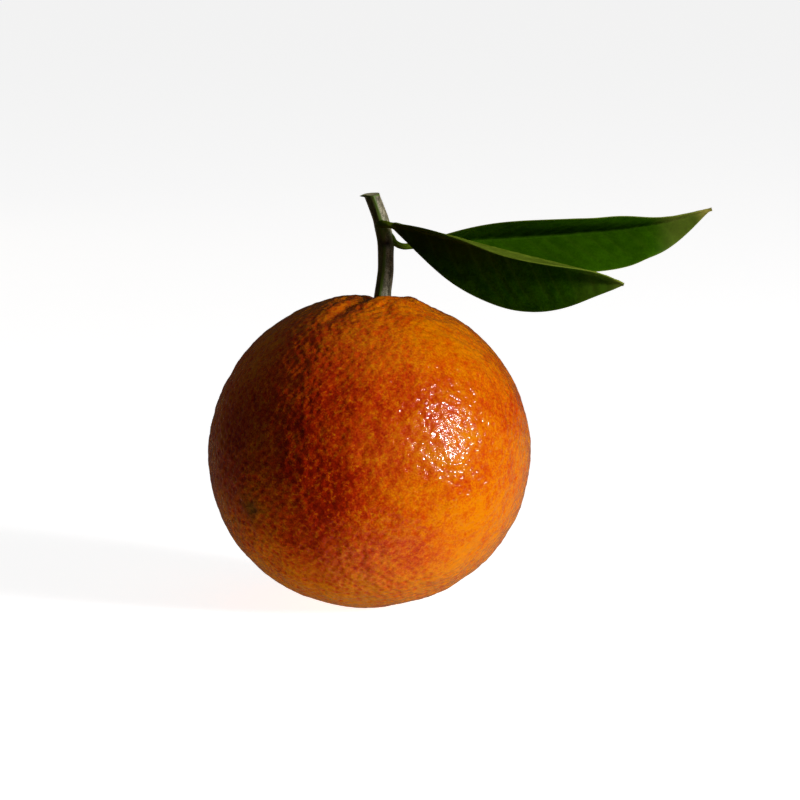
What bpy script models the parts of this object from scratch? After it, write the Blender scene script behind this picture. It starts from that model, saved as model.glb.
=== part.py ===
"""A whole blood orange as picked, with its calyx, a short cut twig and two folded leaves.

Metres, +Z up. The origin lies on the small flat spot that the fruit rests on, and the
leaves reach out towards +X.
"""

import math

import bmesh
import bpy
import numpy as np

# Fruit: a slightly flattened ball with a dimple at the stem end
FRUIT_WIDTH = 0.072
FRUIT_CENTRE = np.array((-0.0007, 0.0, 0.0344))
TOP_FLATTENING = 0.0005
BOTTOM_FLATTENING = 0.00115
# Broad swellings and dents: azimuth and polar angle in degrees, height, reach
SWELLINGS = (
    (182, 122, 0.0006, 0.020),
    (5, 160, -0.0003, 0.011),
    (340, 15, 0.0009, 0.0042),
    (20, 25, -0.0003, 0.0040),
    (180, 10, 0.0002, 0.0036),
    (100, 14, -0.0003, 0.0060),
    (305, 70, 0.0002, 0.016),
    (298, 11.5, 0.0011, 0.0042),
)

# Dimple and the furrows that run out of it
DIMPLE_AT = (0.0020, 0.0)
DIMPLE_DEPTH = 0.0027
DIMPLE_RADIUS = 0.0040
# Azimuth in degrees, depth, distances from the dimple's middle where it starts and where it
# has run out, width
FURROWS = (
    (14, 0.0003, 0.0, 0.010, 0.0011),
    (62, 0.0004, 0.0, 0.012, 0.0011),
    (108, 0.0005, 0.0, 0.014, 0.0011),
    (153, 0.0003, 0.0, 0.011, 0.0011),
    (196, 0.0003, 0.0, 0.010, 0.0011),
    (231, 0.0009, 0.0015, 0.024, 0.0019),
    (276, 0.0004, 0.0045, 0.017, 0.0010),
    (330, 0.0003, 0.0, 0.011, 0.0011),
)

# Peel: pits round the oil glands, closer together near the stem
PIT_SPACING = 0.0038
PIT_SPACING_AT_STEM = 0.0018
PIT_ZONE_AT_STEM = math.radians(42)
PIT_DEPTH = 0.0003
PIT_JITTER = 0.10
PIT_SEED = 7
GOLDEN_ANGLE = math.pi * (3 - math.sqrt(5))

# Calyx: a five-pointed star bedded in the dimple
CLEARANCE = 0.0003
CALYX_RADIUS = 0.0027
CALYX_LOBE = 0.0012
CALYX_LOBES = 5
CALYX_EDGE = 0.0006
CALYX_CROWN = 0.0003
CALYX_SEGMENTS = 40
# Its rings, as shares of the way from the middle to the star's edge
CALYX_RINGS = (0.3, 0.6, 0.85, 1.0)
CROWN_SHARE = 0.5

# Twig: its middle line from the calyx up to the cut
TWIG_RADIUS = 0.0017
TWIG_TAPER = 0.08
TWIG_FLARE = 0.00010
TWIG_FLARE_REACH = 0.0015
TWIG_RIDGE = 0.00016
TWIG_RIDGES = 3
TWIG_RIDGE_TURN = -1.9
TWIG_TWIST = 22.0
TWIG_SEGMENTS = 18
TWIG_RINGS = 30
TWIG_LINE = (
    (0.0020, 0.0000, 0.0692),
    (0.0025, 0.0000, 0.0732),
    (0.0028, 0.0002, 0.0765),
    (0.0027, 0.0004, 0.0812),
    (0.0020, 0.0002, 0.0857),
    (0.0011, -0.0003, 0.0886),
    (-0.0002, -0.0008, 0.0924),
)
# Swellings under the leaf stalks: distance up the twig, direction in degrees, height, reach
TWIG_NODES = (
    (0.0158, -82, 0.00042, 0.0017),
    (0.0128, 2, 0.00030, 0.0018),
)
# The cut on top: its slope, the share of the twig that it slants, and one splinter
CUT_SLOPE = -0.28
CUT_ZONE = 0.1
SPLINTER = 0.0008

# Leaves: both are folded along the midrib
BLADE_THICKNESS = 0.0006
RIB_HEIGHT = 0.0005
RIB_WIDTH = 0.0008
STALK_RADIUS = 0.0007
STALK_ROUNDNESS = 0.8
TIP_HALF_WIDTH = 0.00045
FOLD_HALF_WIDTH = 0.0010
# Shares of the blade over which it leaves the round stalk, folds, and loses its rib
FLATTENING_SHARE = 0.10
FOLDING_SHARE = 0.05
RIB_FADING_SHARE = 0.4
LEAF_ROWS = 38
LEAF_COLUMNS = np.array((-1, -0.8, -0.55, -0.3, -0.1, -0.045, 0, 0.045, 0.1, 0.3, 0.55, 0.8, 1))
STEPS_TO_MARGIN = 200
# The hang angles, at shares of the blade's length, are degrees from straight down
# towards the front, for the half that hangs lower and for the half that stands higher.
LEAF_FRONT = {
    "midrib": (
        (0.0035, -0.0029, 0.0858),
        (0.0043, -0.0032, 0.0856),
        (0.0093, -0.0040, 0.0847),
        (0.0162, -0.0050, 0.0832),
        (0.0261, -0.0065, 0.0807),
        (0.0371, -0.0080, 0.0781),
        (0.0479, -0.0090, 0.0756),
        (0.0553, -0.0095, 0.0731),
    ),
    "stalk_share": 0.015,
    "half_width": 0.0129,
    "widest_at": 0.54,
    "fullness": 0.9,
    "lower_hang": ((0, 8), (0.5, -15), (1, 0)),
    "upper_hang": ((0, 107), (0.3, 97), (0.6, 92), (1, 101)),
    "wave": 0.0002,
    "waves": 2.5,
    "wave_from": 0.0,
    "wave_at": 0.5,
    "wave_reach": 0.4,
}
LEAF_REAR = {
    "midrib": (
        (0.0053, 0.0005, 0.0816),
        (0.0066, 0.0019, 0.0805),
        (0.0087, 0.0040, 0.0805),
        (0.0150, 0.0070, 0.0808),
        (0.0243, 0.0095, 0.0812),
        (0.0392, 0.0120, 0.0819),
        (0.0494, 0.0130, 0.0826),
        (0.0573, 0.0130, 0.0834),
        (0.0674, 0.0125, 0.0852),
        (0.0764, 0.0120, 0.0879),
    ),
    "stalk_share": 0.10,
    "half_width": 0.0128,
    "widest_at": 0.49,
    "fullness": 1.05,
    "lower_hang": ((0, 44), (0.5, 55), (0.75, 38), (0.9, 6), (1, -7)),
    "upper_hang": ((0, 123), (0.5, 110), (1, 105)),
    "wave": 0.0005,
    "waves": 3.0,
    "wave_from": 0.17,
    "wave_at": 0.74,
    "wave_reach": 0.18,
}


def smooth_step(t):
    """0 below 0, 1 above 1, and an even ease between."""
    t = np.clip(t, 0.0, 1.0)
    return t * t * (3.0 - 2.0 * t)


def eased(t, keys):
    """The value at t, eased from each (t, value) key to the next."""
    value = np.full_like(t, keys[0][1], dtype=float)
    for (t0, v0), (t1, v1) in zip(keys[:-1], keys[1:]):
        value += (v1 - v0) * smooth_step((t - t0) / (t1 - t0))
    return value


def curve_through(points, count):
    """A Catmull-Rom curve through the points, read at even steps of its length."""
    p = np.array(points, dtype=float)
    p = np.vstack([2 * p[0] - p[1], p, 2 * p[-1] - p[-2]])
    t = np.linspace(0.0, 1.0, 40, endpoint=False)[:, None]
    spans = []
    for a, b, c, d in zip(p[:-3], p[1:-2], p[2:-1], p[3:]):
        bend = (2 * a - 5 * b + 4 * c - d) * t**2 + (3 * b - a - 3 * c + d) * t**3
        spans.append(0.5 * (2 * b + (c - a) * t + bend))
    fine = np.vstack(spans + [p[-2:-1]])
    travelled = np.linalg.norm(np.diff(fine, axis=0), axis=1)
    travelled = np.concatenate([[0.0], np.cumsum(travelled)])
    even = np.linspace(0.0, travelled[-1], count)
    curve = np.stack([np.interp(even, travelled, fine[:, k]) for k in range(3)], axis=1)
    return curve, even


def unit(vectors):
    return vectors / np.linalg.norm(vectors, axis=-1, keepdims=True)


def direction(azimuth, polar):
    """The unit vector at an azimuth from +X and a polar angle from +Z, in degrees."""
    a, p = math.radians(azimuth), math.radians(polar)
    return np.array((math.sin(p) * math.cos(a), math.sin(p) * math.sin(a), math.cos(p)))


def dimple_frame():
    """Three unit vectors: two across the dimple's axis, and the axis itself."""
    out_to_dimple = (DIMPLE_AT[0] - FRUIT_CENTRE[0], DIMPLE_AT[1] - FRUIT_CENTRE[1], FRUIT_WIDTH / 2)
    axis = unit(np.array(out_to_dimple))
    across = unit(np.array((1.0, 0.0, 0.0)) - axis[0] * axis)
    return across, np.cross(axis, across), axis


def fruit_radius(directions):
    """Distance from the fruit's centre to its skin: a ball, flattened at both ends, with
    swellings, the dimple and its furrows."""
    rise = directions[:, 2]
    radius = np.full(len(directions), FRUIT_WIDTH / 2)
    radius -= TOP_FLATTENING * np.maximum(rise, 0) ** 2
    radius -= BOTTOM_FLATTENING * np.maximum(-rise, 0) ** 2
    for azimuth, polar, height, reach in SWELLINGS:
        arc = FRUIT_WIDTH / 2 * np.arccos(np.clip(directions @ direction(azimuth, polar), -1, 1))
        radius += height * np.exp(-((arc / reach) ** 2))
    across, along, axis = dimple_frame()
    x, y, z = directions @ across, directions @ along, directions @ axis
    arc = FRUIT_WIDTH / 2 * np.arccos(np.clip(z, -1, 1))
    radius -= DIMPLE_DEPTH * np.exp(-((arc / DIMPLE_RADIUS) ** 4))
    turn = np.arctan2(y, x)
    for azimuth, depth, start, end, width in FURROWS:
        off = turn - math.radians(azimuth)
        beside, outward = arc * np.sin(off), arc * np.cos(off)
        starts = smooth_step((outward - start) / DIMPLE_RADIUS)
        ends = 1.0 - smooth_step((outward / end - 0.5) * 2.0)
        radius -= depth * starts * ends * np.exp(-((beside / width) ** 2))
    return radius


def fruit_top(x, y):
    """Height of the skin above the points x, y near the stem end."""
    height = np.full_like(x, FRUIT_WIDTH)
    for _ in range(6):
        away = np.stack([x, y, height], axis=-1) - FRUIT_CENTRE
        radius = fruit_radius(unit(away))
        flat = np.hypot(away[:, 0], away[:, 1])
        height = FRUIT_CENTRE[2] + np.sqrt(radius**2 - flat**2)
    return height


def pit_spacing(polar):
    """The spacing of the pits at this angle from the dimple's axis."""
    return PIT_SPACING_AT_STEM + (PIT_SPACING - PIT_SPACING_AT_STEM) * smooth_step(polar / PIT_ZONE_AT_STEM)


def pit_directions():
    """Directions of the pits: a spiral from the dimple to the bottom, with each turn of the
    golden angle one pit on, at steps that give every pit its share of the skin."""
    polar = np.linspace(0.0, math.pi, 4000)
    pit_area = math.sqrt(3) / 2 * pit_spacing(polar) ** 2
    per_step = 2 * math.pi * (FRUIT_WIDTH / 2) ** 2 * np.sin(polar) / pit_area
    counted = np.cumsum(per_step) * (polar[1] - polar[0])
    index = np.arange(int(counted[-1]))
    polar = np.interp(index + 0.5, counted, polar)
    turn = index * GOLDEN_ANGLE
    across, along, axis = dimple_frame()
    spiral = (
        (np.sin(polar) * np.cos(turn))[:, None] * across
        + (np.sin(polar) * np.sin(turn))[:, None] * along
        + np.cos(polar)[:, None] * axis
    )
    random = np.random.default_rng(PIT_SEED)
    shift = PIT_JITTER * pit_spacing(polar) / (FRUIT_WIDTH / 2)
    return unit(spiral + random.normal(size=spiral.shape) * shift[:, None])


def pitted_ball(pits):
    """A unit ball of triangles with a corner on each pit and six corners round it: the hull
    of the pits, with a new corner in every face and the old edges turned."""
    bm = bmesh.new()
    for pit in pits:
        bm.verts.new(pit)
    bmesh.ops.convex_hull(bm, input=bm.verts)
    old_edges = list(bm.edges)
    bmesh.ops.poke(bm, faces=list(bm.faces))
    bmesh.ops.rotate_edges(bm, edges=old_edges)
    bmesh.ops.recalc_face_normals(bm, faces=list(bm.faces))
    return bm


def make_fruit():
    """The whole fruit: the pitted ball drawn out to the skin, with its lowest part flat."""
    pits = pit_directions()
    bm = pitted_ball(pits)
    mesh = bpy.data.meshes.new("fruit")
    bm.to_mesh(mesh)
    bm.free()
    corners = np.empty(len(mesh.vertices) * 3)
    mesh.vertices.foreach_get("co", corners)
    directions = unit(corners.reshape(-1, 3))
    skin = FRUIT_CENTRE + directions * fruit_radius(directions)[:, None]
    off_axis = FRUIT_WIDTH / 2 * np.arccos(np.clip(directions @ dimple_frame()[2], -1, 1))
    pitted = smooth_step(off_axis / DIMPLE_RADIUS - 1.0) * (skin[:, 2] > 0)
    pitted[len(pits):] = 0.0
    skin -= PIT_DEPTH * pitted[:, None] * directions
    skin[:, 2] = np.maximum(skin[:, 2], 0.0)
    mesh.vertices.foreach_set("co", skin.ravel())
    mesh.update()
    mesh.shade_smooth()
    return place("fruit", mesh, peel_material())


def ringed_mesh(name, rings, bottom_point, top_point):
    """A closed skin over rings of points, with a fan of triangles at each end."""
    count, around = rings.shape[:2]
    index = np.arange(count * around).reshape(count, around)
    after = np.roll(index, -1, axis=1)
    sides = np.stack([index[:-1], after[:-1], after[1:], index[1:]], axis=-1).reshape(-1, 4)
    low, high = count * around, count * around + 1
    faces = sides.tolist()
    faces += [[low, b, a] for a, b in zip(index[0], after[0])]
    faces += [[high, a, b] for a, b in zip(index[-1], after[-1])]
    mesh = bpy.data.meshes.new(name)
    mesh.from_pydata(np.vstack([rings.reshape(-1, 3), bottom_point, top_point]).tolist(), [], faces)
    mesh.update()
    return mesh


def make_calyx():
    """The star: its underside follows the dimple, and its upper side rises to a flat crown."""
    turn = np.linspace(0, 2 * math.pi, CALYX_SEGMENTS, endpoint=False)
    rim = CALYX_RADIUS + CALYX_LOBE * (0.5 + 0.5 * np.cos(CALYX_LOBES * turn)) ** 1.5

    def ring(share, thickness):
        x = DIMPLE_AT[0] + share * rim * np.cos(turn)
        y = DIMPLE_AT[1] + share * rim * np.sin(turn)
        return np.stack([x, y, fruit_top(x, y) + CLEARANCE + thickness], axis=1)

    def thickness(share):
        return CALYX_EDGE + CALYX_CROWN * (1 - smooth_step((share - CROWN_SHARE) / (1 - CROWN_SHARE)))

    under = [ring(share, 0.0) for share in CALYX_RINGS]
    over = [ring(share, thickness(share)) for share in reversed(CALYX_RINGS)]
    low, high = ring(0.0, 0.0)[0], ring(0.0, thickness(0.0))[0]
    mesh = ringed_mesh("calyx", np.array(under + over), low, high)
    mesh.shade_smooth()
    mesh.set_sharp_from_angle(angle=math.radians(50))
    return place("calyx", mesh, calyx_material())


def twig_radius(height, turn):
    """Radius at a distance up the twig and a direction round it: a taper, a flared foot,
    long twisting ridges, and a swelling under each leaf stalk."""
    radius = TWIG_RADIUS * (1 - TWIG_TAPER * height / height.max())
    radius = radius + TWIG_FLARE * np.exp(-((height / TWIG_FLARE_REACH) ** 2))
    for ridge in range(TWIG_RIDGES):
        at = 2 * math.pi * ridge / TWIG_RIDGES + TWIG_RIDGE_TURN + TWIG_TWIST * height
        radius = radius + TWIG_RIDGE * (0.5 + 0.5 * np.cos(turn - at)) ** 6
    for at, azimuth, swelling, reach in TWIG_NODES:
        facing = (0.5 + 0.5 * np.cos(turn - math.radians(azimuth))) ** 2
        radius = radius + swelling * facing * np.exp(-(((height - at) / reach) ** 2))
    return radius


def make_twig():
    """The twig: a ridged tube along its middle line, cut aslant on top with one splinter."""
    line, height = curve_through(TWIG_LINE, TWIG_RINGS)
    tangent = unit(np.gradient(line, axis=0))
    across = unit(np.array((1.0, 0, 0)) - tangent[:, :1] * tangent)
    along = np.cross(tangent, across)
    turn = np.linspace(0, 2 * math.pi, TWIG_SEGMENTS, endpoint=False)
    radius = twig_radius(height[:, None], turn[None, :])
    x, y = radius * np.cos(turn), radius * np.sin(turn)
    rings = line[:, None] + x[..., None] * across[:, None] + y[..., None] * along[:, None]
    near_cut = smooth_step(1 - (1 - height / height[-1]) / CUT_ZONE)[:, None]
    rings += (near_cut * CUT_SLOPE * x)[..., None] * tangent[:, None]
    rings[-1, TWIG_SEGMENTS // 2] -= SPLINTER * across[-1]
    mesh = ringed_mesh("twig", rings, line[0], line[-1])
    mesh.shade_smooth()
    mesh.set_sharp_from_angle(angle=math.radians(45))
    return place("twig", mesh, bark_material())


def leaf_surface(leaf):
    """The leaf's middle surface and the side that faces up the fold, on a grid of rows along
    the midrib and columns across it.

    In each cross-section the two halves leave the midrib at the hang angles of the lower and
    the upper half, and the fold between them is eased over a narrow strip.
    """
    line, travelled = curve_through(leaf["midrib"], LEAF_ROWS)
    share = travelled / travelled[-1]
    tangent = unit(np.gradient(line, axis=0))
    down = unit(np.array((0, 0, -1.0)) + tangent[:, 2:] * tangent)
    back = np.cross(tangent, down)
    blade = np.clip((share - leaf["stalk_share"]) / (1 - leaf["stalk_share"]), 0, 1)
    power = math.log(0.5) / math.log(leaf["widest_at"])
    half_width = leaf["half_width"] * np.sin(math.pi * blade**power) ** leaf["fullness"]
    half_width = np.maximum(half_width, np.where(share < 0.5, STALK_RADIUS, TIP_HALF_WIDTH))
    lower = np.radians(eased(blade, leaf["lower_hang"]))[:, None] + math.pi
    upper = np.radians(eased(blade, leaf["upper_hang"]))[:, None]
    folded = smooth_step(blade / FOLDING_SHARE)[:, None]
    fine = np.linspace(-1, 1, 2 * STEPS_TO_MARGIN + 1)[None, :]
    fold_share = (FOLD_HALF_WIDTH / half_width)[:, None]
    turned = smooth_step(0.5 + fine / (2 * fold_share)) - 0.5
    heading = (lower + upper) / 2 + folded * (upper - lower) * turned
    at = np.round((LEAF_COLUMNS + 1) * STEPS_TO_MARGIN).astype(int)

    def walked(step):
        """The way gone across the blade from the midrib, as the sum of its small steps."""
        total = np.cumsum((step[:, 1:] + step[:, :-1]) / 2, axis=1) * (fine[0, 1] - fine[0, 0])
        total = np.concatenate([np.zeros((len(total), 1)), total], axis=1)
        return (total[:, at] - total[:, STEPS_TO_MARGIN, None]) * half_width[:, None]

    drop, lean = walked(np.cos(heading)), walked(np.sin(heading))
    surface = line[:, None] + drop[..., None] * down[:, None] - lean[..., None] * back[:, None]
    heading = heading[:, at]
    facing = np.sin(heading)[..., None] * down[:, None] + np.cos(heading)[..., None] * back[:, None]
    swing = np.sin(2 * math.pi * leaf["waves"] * (blade[:, None] - leaf["wave_from"]) + LEAF_COLUMNS)
    waved = np.exp(-(((blade[:, None] - leaf["wave_at"]) / leaf["wave_reach"]) ** 2))
    wave = leaf["wave"] * np.abs(LEAF_COLUMNS) ** 3 * swing * waved * np.sin(math.pi * blade)[:, None]
    surface = surface + wave[..., None] * facing
    return surface, facing, blade, half_width


def closed_sheet(name, top, bottom):
    """One closed body between two like grids of points, split into triangles alike."""
    rows, columns = top.shape[:2]
    upper = np.arange(rows * columns).reshape(rows, columns)
    lower = upper + rows * columns
    a, b, c, d = upper[:-1, :-1], upper[1:, :-1], upper[1:, 1:], upper[:-1, 1:]
    halves = np.concatenate([np.stack([a, b, c], -1), np.stack([a, c, d], -1)]).reshape(-1, 3)
    walls = [
        np.stack([upper[:-1, 0], lower[:-1, 0], lower[1:, 0], upper[1:, 0]], -1),
        np.stack([upper[:-1, -1], upper[1:, -1], lower[1:, -1], lower[:-1, -1]], -1),
        np.stack([upper[0, :-1], upper[0, 1:], lower[0, 1:], lower[0, :-1]], -1),
        np.stack([upper[-1, 1:], upper[-1, :-1], lower[-1, :-1], lower[-1, 1:]], -1),
    ]
    underside = halves[:, ::-1] + rows * columns
    faces = halves.tolist() + underside.tolist() + np.concatenate(walls).tolist()
    mesh = bpy.data.meshes.new(name)
    mesh.from_pydata(np.concatenate([top.reshape(-1, 3), bottom.reshape(-1, 3)]).tolist(), [], faces)
    mesh.update()
    return mesh


def make_leaf(name, leaf, material):
    """A leaf: a round stalk that flattens into the blade, with the midrib raised below."""
    surface, facing, blade, half_width = leaf_surface(leaf)
    flattened = smooth_step(blade / FLATTENING_SHARE)[:, None]
    round_half = STALK_RADIUS * np.sqrt(1 - STALK_ROUNDNESS * LEAF_COLUMNS**2)
    half = round_half + (BLADE_THICKNESS / 2 - round_half) * flattened
    fading = smooth_step((1 - blade[:, None]) / RIB_FADING_SHARE)
    off_midrib = LEAF_COLUMNS * half_width[:, None]
    rib = RIB_HEIGHT * flattened * fading * np.exp(-((off_midrib / RIB_WIDTH) ** 2))
    top = surface + half[..., None] * facing
    bottom = surface - (half + rib)[..., None] * facing
    mesh = closed_sheet(name, top, bottom)
    mesh.shade_smooth()
    mesh.set_sharp_from_angle(angle=math.radians(60))
    return place(name, mesh, material)


def plain_material(name, colour, roughness):
    """A material whose one shader has this colour and roughness."""
    material = bpy.data.materials.new(name)
    material.use_nodes = True
    shader = material.node_tree.nodes["Principled BSDF"]
    shader.inputs["Base Color"].default_value = (*colour, 1.0)
    shader.inputs["Roughness"].default_value = roughness
    shader.inputs["Metallic"].default_value = 0.0
    return material


def peel_material():
    return plain_material("peel", (0.62, 0.16, 0.01), 0.36)


def calyx_material():
    return plain_material("calyx", (0.16, 0.17, 0.06), 0.7)


def bark_material():
    return plain_material("bark", (0.17, 0.17, 0.08), 0.65)


def leaf_material():
    return plain_material("leaf", (0.03, 0.09, 0.006), 0.42)


def place(name, mesh, material):
    """The object of this name, with its mesh where it stands and its material."""
    mesh.materials.append(material)
    part = bpy.data.objects.new(name, mesh)
    bpy.context.scene.collection.objects.link(part)
    return part


for old in list(bpy.data.objects):
    bpy.data.objects.remove(old)
make_fruit()
make_calyx()
make_twig()
green = leaf_material()
make_leaf("leaf_front", LEAF_FRONT, green)
make_leaf("leaf_rear", LEAF_REAR, green)
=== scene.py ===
import math

import bpy
import numpy as np
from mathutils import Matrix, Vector


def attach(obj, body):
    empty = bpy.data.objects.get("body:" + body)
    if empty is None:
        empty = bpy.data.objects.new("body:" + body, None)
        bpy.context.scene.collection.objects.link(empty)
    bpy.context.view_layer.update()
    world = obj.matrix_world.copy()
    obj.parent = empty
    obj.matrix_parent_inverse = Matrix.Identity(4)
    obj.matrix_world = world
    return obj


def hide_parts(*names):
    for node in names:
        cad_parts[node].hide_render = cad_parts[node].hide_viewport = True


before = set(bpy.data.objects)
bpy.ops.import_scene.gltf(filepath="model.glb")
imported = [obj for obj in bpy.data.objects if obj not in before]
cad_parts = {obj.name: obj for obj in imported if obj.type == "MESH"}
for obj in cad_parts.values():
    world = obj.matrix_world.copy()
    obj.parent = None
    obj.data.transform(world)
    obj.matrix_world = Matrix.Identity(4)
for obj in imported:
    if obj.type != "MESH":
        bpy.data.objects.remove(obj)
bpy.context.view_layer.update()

# The fruit: a whole blood orange in one leathery, waxy peel. The oil glands pit the peel all
# over, it creases in towards the stem, and red blush spreads through the orange from one side.
FRUIT_WIDTH = 0.072
FRUIT_CENTRE = np.array((-0.0007, 0.0, 0.0344))
TOP_FLATTENING = 0.0005
BOTTOM_FLATTENING = 0.00115
# Broad swellings and dents: azimuth and polar angle in degrees, height, reach
SWELLINGS = (
    (182, 122, 0.0006, 0.020),
    (5, 160, -0.0003, 0.011),
    (340, 15, 0.0009, 0.0042),
    (20, 25, -0.0003, 0.0040),
    (180, 10, 0.0002, 0.0036),
    (100, 14, -0.0003, 0.0060),
    (305, 70, 0.0002, 0.016),
    (298, 11.5, 0.0011, 0.0042),
)
DIMPLE_AT = (0.0020, 0.0)
DIMPLE_DEPTH = 0.0027
DIMPLE_RADIUS = 0.0040
# Azimuth in degrees, depth, distances from the dimple's middle where it starts and where it
# has run out, width
FURROWS = (
    (14, 0.0003, 0.0, 0.010, 0.0011),
    (62, 0.0004, 0.0, 0.012, 0.0011),
    (108, 0.0005, 0.0, 0.014, 0.0011),
    (153, 0.0003, 0.0, 0.011, 0.0011),
    (196, 0.0003, 0.0, 0.010, 0.0011),
    (231, 0.0009, 0.0015, 0.024, 0.0019),
    (276, 0.0004, 0.0045, 0.017, 0.0010),
    (330, 0.0003, 0.0, 0.011, 0.0011),
)
LONG_FURROW = FURROWS[5]
FURROW_WOBBLE = 0.00025
FURROW_WOBBLES = 1500
BALL_CELLS = 127
GLAND_SPACING = 0.00188
GLAND_SPACING_AT_STEM = 0.00125
GLAND_ZONE_AT_STEM = math.radians(34)
GLAND_DEPTH = 0.00021
GLAND_REACH = 0.00048
GLAND_JITTER = 0.17
# How much nearer the nearest gland may be than the second where the ridge between them ends
GLAND_RIDGE = 0.0006
# Distance from the dimple where the glands begin to redden, and the way they take over it
GLAND_REDDENING = (0.006, 0.022)
GOLDEN_ANGLE = math.pi * (3 - math.sqrt(5))
# Relief between the glands: wavelength, height, number of waves, seed
RELIEF = ((0.011, 0.00006, 30, 3), (0.0042, 0.00004, 40, 4), (0.0021, 0.000022, 50, 5))
ROUGH_ZONE_AT_STEM = 0.013
# Short crescent cracks round the stem: azimuth in degrees, distance from the dimple, turn, length
CRESCENTS = (
    (262, 0.0068, 20, 0.0013), (274, 0.0090, -30, 0.0011), (291, 0.0072, 35, 0.0012),
    (302, 0.0101, 15, 0.0010), (248, 0.0108, -20, 0.0012), (318, 0.0082, 40, 0.0010),
    (216, 0.0086, 25, 0.0011), (340, 0.0098, -25, 0.0010), (40, 0.0088, 20, 0.0011),
    (85, 0.0082, -35, 0.0012), (130, 0.0094, 30, 0.0010), (175, 0.0080, -15, 0.0012),
)
CRESCENT_DEPTH = 0.00022
CRESCENT_WIDTH = 0.00022
# Patches of blush: azimuth and polar angle in degrees, strength, reach round and reach up
BLUSHES = (
    (250, 67, 0.85, 20, 21),
    (257, 103, 0.57, 24, 15),
    (251, 88, 0.61, 22, 9),
    (285, 66, 0.44, 15, 16),
    (286, 25, 0.24, 31, 34),
    (291, 119, 0.50, 9, 12),
    (251, 119, 0.50, 26, 19),
    (212, 86, 0.66, 12, 25),
    (232, 45, 0.37, 13, 25),
    (164, 82, 0.45, 26, 30),
    (70, 104, 0.45, 30, 26),
    (120, 60, 0.30, 24, 20),
    (331, 69, 0.36, 33, 14),
    (311, 93, 0.30, 27, 8),
    (20, 80, 0.20, 26, 40),
)
# A dark olive spot on the peel: azimuth and polar angle in degrees, and reach. The long furrow gets
# a thin share of its olive as painted shade
OLIVE_SPOT = (222.6, 104.4, 0.0030)
# Where the glands hardly show red
FAINT_GLAND_SIDE = (312, 75)


def smooth_step(t):
    """0 below 0, 1 above 1, and an even ease between."""
    t = np.clip(t, 0.0, 1.0)
    return t * t * (3.0 - 2.0 * t)


def unit(vectors):
    """Each vector divided by its length."""
    return vectors / np.linalg.norm(vectors, axis=-1, keepdims=True)


def direction(azimuth, polar):
    """The unit vector at an azimuth from +X and a polar angle from +Z, in degrees."""
    a, p = math.radians(azimuth), math.radians(polar)
    return np.array((math.sin(p) * math.cos(a), math.sin(p) * math.sin(a), math.cos(p)))


def dimple_frame():
    """Three unit vectors: two across the dimple's axis, and the axis itself."""
    x, y = DIMPLE_AT[0] - FRUIT_CENTRE[0], DIMPLE_AT[1] - FRUIT_CENTRE[1]
    axis = unit(np.array((x, y, FRUIT_WIDTH / 2)))
    across = unit(np.array((1.0, 0.0, 0.0)) - axis[0] * axis)
    return across, np.cross(axis, across), axis


def round_the_dimple(directions):
    """Distance over the skin from the dimple's middle, and the angle round it."""
    across, along, axis = dimple_frame()
    arc = FRUIT_WIDTH / 2 * np.arccos(np.clip(directions @ axis, -1, 1))
    return arc, np.arctan2(directions @ along, directions @ across)


def furrow_share(arc, turn, furrow):
    """How deep in a furrow a point lies: exp(-(beside / width)^2), eased in and out along it."""
    azimuth, _, start, end, width = furrow
    off = turn - math.radians(azimuth)
    beside, outward = arc * np.sin(off), arc * np.cos(off)
    beside = beside + FURROW_WOBBLE * np.sin(outward * FURROW_WOBBLES + azimuth)
    starts = smooth_step((outward - start) / DIMPLE_RADIUS)
    ends = 1.0 - smooth_step((outward / end - 0.5) * 2.0)
    return starts * ends * np.exp(-((beside / width) ** 2))


def fruit_radius(directions):
    """Distance from the fruit's centre to its skin: half the width, less the flattening times
    the squared rise, plus height * exp(-(arc / reach)^2) for each swelling, less the dimple's
    depth * exp(-(arc / radius)^4), less each furrow's depth * exp(-(beside / width)^2)."""
    rise = directions[:, 2]
    radius = np.full(len(directions), FRUIT_WIDTH / 2)
    radius -= TOP_FLATTENING * np.maximum(rise, 0) ** 2
    radius -= BOTTOM_FLATTENING * np.maximum(-rise, 0) ** 2
    for azimuth, polar, height, reach in SWELLINGS:
        arc = FRUIT_WIDTH / 2 * np.arccos(np.clip(directions @ direction(azimuth, polar), -1, 1))
        radius += height * np.exp(-((arc / reach) ** 2))
    arc, turn = round_the_dimple(directions)
    radius -= DIMPLE_DEPTH * np.exp(-((arc / DIMPLE_RADIUS) ** 4))
    for furrow in FURROWS:
        radius -= furrow[1] * furrow_share(arc, turn, furrow)
    return radius


def fruit_top(x, y):
    """Height of the skin above the points x, y near the stem end, closed in on in six steps."""
    height = np.full_like(x, FRUIT_WIDTH)
    for _ in range(6):
        away = np.stack([x, y, height], axis=-1) - FRUIT_CENTRE
        radius = fruit_radius(unit(away))
        height = FRUIT_CENTRE[2] + np.sqrt(radius**2 - away[:, 0] ** 2 - away[:, 1] ** 2)
    return height


def ripple(points, wavelength, count, seed):
    """Sum of cos(2 pi heading . point / length + phase) over seeded plane waves, their lengths
    within a quarter of the wavelength, scaled to a spread of one."""
    random = np.random.default_rng(seed)
    headings = unit(random.normal(size=(count, 3)))
    lengths = wavelength * random.uniform(0.75, 1.25, count)
    phases = random.uniform(0, 2 * math.pi, count)
    angles = points @ (headings * (2 * math.pi / lengths)[:, None]).T + phases
    return np.cos(angles).sum(axis=1) * math.sqrt(2.0 / count)


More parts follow.
